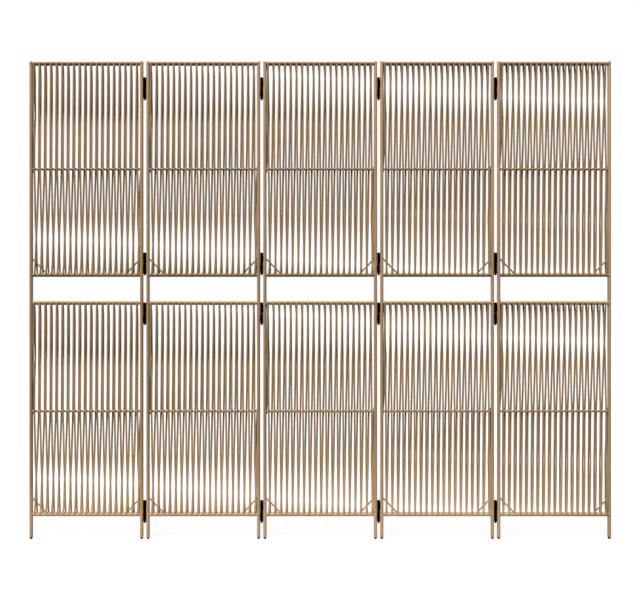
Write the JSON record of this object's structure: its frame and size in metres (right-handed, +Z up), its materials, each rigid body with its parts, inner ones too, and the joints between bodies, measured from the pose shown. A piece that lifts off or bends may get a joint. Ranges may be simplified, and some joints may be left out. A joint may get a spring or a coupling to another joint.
{
  "type": "accordion folding partition",
  "caption": "Free-standing folding screen: hinged tube-frame panels wound with plastic rattan strip in an upper and a lower section, on small round feet.",
  "frame": {"origin": "on the floor, under the middle of the opened screen", "axes": "+X along the opened screen to the right, +Y to the back, +Z up; the side in the picture faces -Y"},
  "size_m": [2.1938, 0.0152, 1.8],
  "materials": {
    "frame_steel": "satin beige-brown powder coat",
    "rattan_strip": "beige-brown half-round plastic rattan strip, fine lengthwise grain",
    "hinge_steel": "black paint, satin",
    "foot_plastic": "moulded black plastic"
  },
  "bodies": {
    "panel_1": {"panel_1_frame": "frame_steel", "panel_1_upper_weave": "rattan_strip", "panel_1_lower_weave": "rattan_strip", "panel_1_left_foot": "foot_plastic", "panel_1_right_foot": "foot_plastic", "gap_1_hinge_1_pin_half": "hinge_steel", "gap_1_hinge_2_pin_half": "hinge_steel", "gap_1_hinge_3_pin_half": "hinge_steel", "gap_1_hinge_4_pin_half": "hinge_steel"},
    "panel_2": {"panel_2_frame": "frame_steel", "panel_2_upper_weave": "rattan_strip", "panel_2_lower_weave": "rattan_strip", "panel_2_left_foot": "foot_plastic", "panel_2_right_foot": "foot_plastic", "gap_1_hinge_1_socket_half": "hinge_steel", "gap_1_hinge_2_socket_half": "hinge_steel", "gap_1_hinge_3_socket_half": "hinge_steel", "gap_1_hinge_4_socket_half": "hinge_steel", "gap_2_hinge_1_pin_half": "hinge_steel", "gap_2_hinge_2_pin_half": "hinge_steel", "gap_2_hinge_3_pin_half": "hinge_steel", "gap_2_hinge_4_pin_half": "hinge_steel"},
    "panel_3": {"panel_3_frame": "frame_steel", "panel_3_upper_weave": "rattan_strip", "panel_3_lower_weave": "rattan_strip", "panel_3_left_foot": "foot_plastic", "panel_3_right_foot": "foot_plastic", "gap_2_hinge_1_socket_half": "hinge_steel", "gap_2_hinge_2_socket_half": "hinge_steel", "gap_2_hinge_3_socket_half": "hinge_steel", "gap_2_hinge_4_socket_half": "hinge_steel", "gap_3_hinge_1_pin_half": "hinge_steel", "gap_3_hinge_2_pin_half": "hinge_steel", "gap_3_hinge_3_pin_half": "hinge_steel", "gap_3_hinge_4_pin_half": "hinge_steel"},
    "panel_4": {"panel_4_frame": "frame_steel", "panel_4_upper_weave": "rattan_strip", "panel_4_lower_weave": "rattan_strip", "panel_4_left_foot": "foot_plastic", "panel_4_right_foot": "foot_plastic", "gap_3_hinge_1_socket_half": "hinge_steel", "gap_3_hinge_2_socket_half": "hinge_steel", "gap_3_hinge_3_socket_half": "hinge_steel", "gap_3_hinge_4_socket_half": "hinge_steel", "gap_4_hinge_1_pin_half": "hinge_steel", "gap_4_hinge_2_pin_half": "hinge_steel", "gap_4_hinge_3_pin_half": "hinge_steel", "gap_4_hinge_4_pin_half": "hinge_steel"},
    "panel_5": {"panel_5_frame": "frame_steel", "panel_5_upper_weave": "rattan_strip", "panel_5_lower_weave": "rattan_strip", "panel_5_left_foot": "foot_plastic", "panel_5_right_foot": "foot_plastic", "gap_4_hinge_1_socket_half": "hinge_steel", "gap_4_hinge_2_socket_half": "hinge_steel", "gap_4_hinge_3_socket_half": "hinge_steel", "gap_4_hinge_4_socket_half": "hinge_steel"}
  },
  "joints": [
    {"name": "fold_2_on_3", "type": "hinge", "parent": "panel_3", "child": "panel_2", "pos_m": [-0.2205, 0, 0], "axis": [0, 0, 1], "range_deg": [0, 110]},
    {"name": "fold_1_on_2", "type": "hinge", "parent": "panel_2", "child": "panel_1", "pos_m": [-0.6615, 0, 0], "axis": [0, 0, 1], "range_deg": [-110, 0]},
    {"name": "fold_4_on_3", "type": "hinge", "parent": "panel_3", "child": "panel_4", "pos_m": [0.2205, 0, 0], "axis": [0, 0, 1], "range_deg": [0, 110]},
    {"name": "fold_5_on_4", "type": "hinge", "parent": "panel_4", "child": "panel_5", "pos_m": [0.6615, 0, 0], "axis": [0, 0, 1], "range_deg": [-110, 0]}
  ]
}
